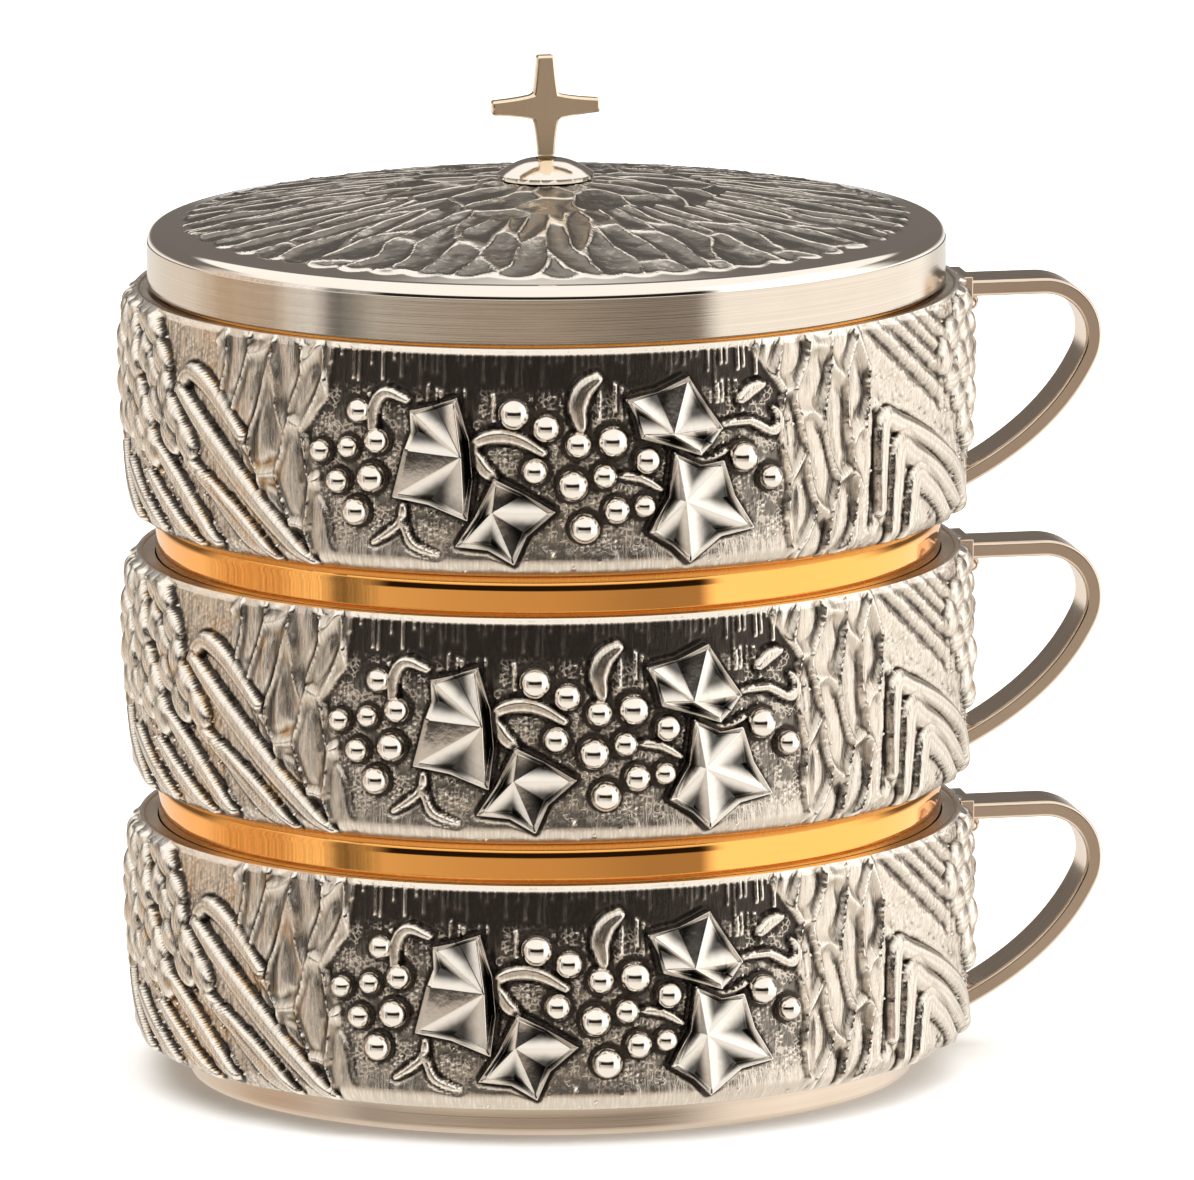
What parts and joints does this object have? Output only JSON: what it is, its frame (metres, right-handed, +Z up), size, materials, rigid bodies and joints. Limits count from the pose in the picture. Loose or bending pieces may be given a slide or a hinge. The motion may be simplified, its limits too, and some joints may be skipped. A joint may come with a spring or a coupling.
{
  "type": "stacking ciborium",
  "caption": "Stacking ciborium: nesting gilt bowls in grape and wheat relief bands, each with a strap handle, under a shallow domed lid with a cross.",
  "frame": {"origin": "centre of the underside of the bottom foot, on the vessel's axis", "axes": "+Z up the vessel's axis, +X towards the handles, -Y towards the front of the vessel and of the cross"},
  "size_m": [0.1725, 0.1476, 0.1803],
  "materials": {
    "gilt": "mirror polished gilding on brass",
    "oxidised_silver": "silver plated relief, darkened in its hollows and rubbed bright on its high points",
    "silver": "polished silver plate",
    "satin_silver": "fine turned satin silver plate",
    "cross_plate": "fine satin, warm champagne plate",
    "fastener_brass": "plain turned brass"
  },
  "bodies": {
    "bottom_tier": {"bottom_cup": "gilt", "bottom_relief_band": "oxidised_silver", "bottom_base_plate": "silver", "bottom_foot_ring": "satin_silver", "bottom_foot_plate": "satin_silver", "bottom_base_washer": "fastener_brass", "bottom_base_nut": "fastener_brass", "bottom_handle": "silver", "bottom_handle_pad": "silver"},
    "middle_tier": {"middle_cup": "gilt", "middle_relief_band": "oxidised_silver", "middle_base_plate": "silver", "middle_foot_ring": "satin_silver", "middle_foot_plate": "satin_silver", "middle_base_washer": "fastener_brass", "middle_base_nut": "fastener_brass", "middle_handle": "silver", "middle_handle_pad": "silver"},
    "top_tier": {"top_cup": "gilt", "top_relief_band": "oxidised_silver", "top_base_plate": "silver", "top_foot_ring": "satin_silver", "top_foot_plate": "satin_silver", "top_base_washer": "fastener_brass", "top_base_nut": "fastener_brass", "top_handle": "silver", "top_handle_pad": "silver"},
    "lid": {"lid_band": "satin_silver", "lid_dome": "oxidised_silver", "lid_boss": "silver", "cross": "cross_plate", "cross_stud": "fastener_brass", "cross_washer": "fastener_brass", "cross_nut": "fastener_brass"}
  },
  "joints": [
    {"name": "middle_tier_lift", "type": "slide", "parent": "bottom_tier", "child": "middle_tier", "axis": [0, 0, 1], "range_m": [0, 0.06]},
    {"name": "top_tier_lift", "type": "slide", "parent": "middle_tier", "child": "top_tier", "axis": [0, 0, 1], "range_m": [0, 0.06]},
    {"name": "lid_lift", "type": "slide", "parent": "top_tier", "child": "lid", "axis": [0, 0, 1], "range_m": [0, 0.06]}
  ]
}
